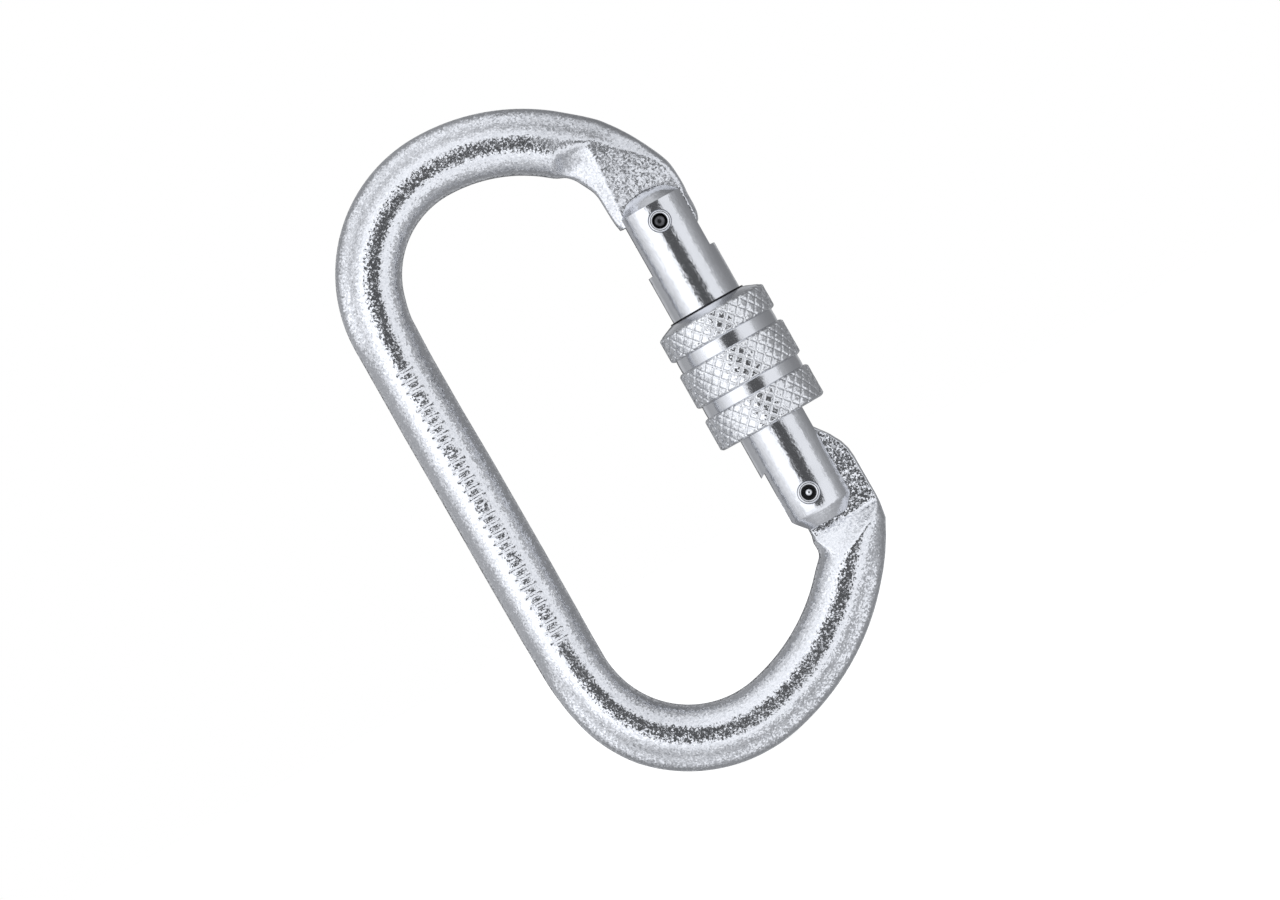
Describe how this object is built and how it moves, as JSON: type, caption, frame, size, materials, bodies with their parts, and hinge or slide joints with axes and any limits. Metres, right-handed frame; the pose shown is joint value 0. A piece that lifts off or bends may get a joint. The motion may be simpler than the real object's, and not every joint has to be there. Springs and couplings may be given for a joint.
{
  "type": "screw-lock carabiner",
  "caption": "Oval steel carabiner: bent round bar, hinged gate that springs shut, and a knurled screw-lock nut that slides over the nose.",
  "frame": {"origin": "middle of the object's box, inside the loop, level with the lock nut", "axes": "+Z along the length, nose end up; +X from the spine to the gate; Y across the bar"},
  "size_m": [0.0586, 0.0178, 0.1072],
  "materials": {
    "zinc_bar": "zinc plated, fine grain",
    "zinc_turned": "zinc plated, turned smooth",
    "zinc_knurled": "zinc plated, diamond knurled",
    "pin_steel": "zinc plated, riveted",
    "inner_steel": "plain oiled steel"
  },
  "bodies": {
    "frame": {"body": "zinc_bar"},
    "gate": {"gate": "zinc_turned", "hinge_rivet": "pin_steel", "latch_pin": "pin_steel", "gate_spring": "inner_steel"},
    "plunger": {"plunger": "inner_steel"},
    "nut_liner": {"nut_thread_liner": "zinc_turned"},
    "nut_sleeve": {"lock_nut": "zinc_knurled"}
  },
  "joints": [
    {"name": "gate_swing", "type": "hinge", "parent": "frame", "child": "gate", "pos_m": [0.01978, 0, -0.02245], "axis": [0, -1, 0], "range_deg": [0, 25], "stiffness_Nm_per_rad": 0.25, "springref_deg": -28.65},
    {"name": "plunger_slide", "type": "slide", "parent": "gate", "child": "plunger", "axis": [0, 0, 1], "range_m": [0, 0.00115], "deforming": ["gate_spring"]},
    {"name": "nut_lift", "type": "slide", "parent": "gate", "child": "nut_liner", "axis": [0, 0, 1], "range_m": [0, 0.016]},
    {"name": "nut_turn", "type": "hinge", "parent": "nut_liner", "child": "nut_sleeve", "pos_m": [0.02038, 0, 0], "axis": [0, 0, 1], "range_deg": [0, 2880]}
  ],
  "couplings": [
    {"joint": "plunger_slide", "follows": "gate_swing", "m_per_rad": 0.0026356},
    {"joint": "nut_turn", "follows": "nut_lift", "rad_per_m": 3141.6}
  ]
}
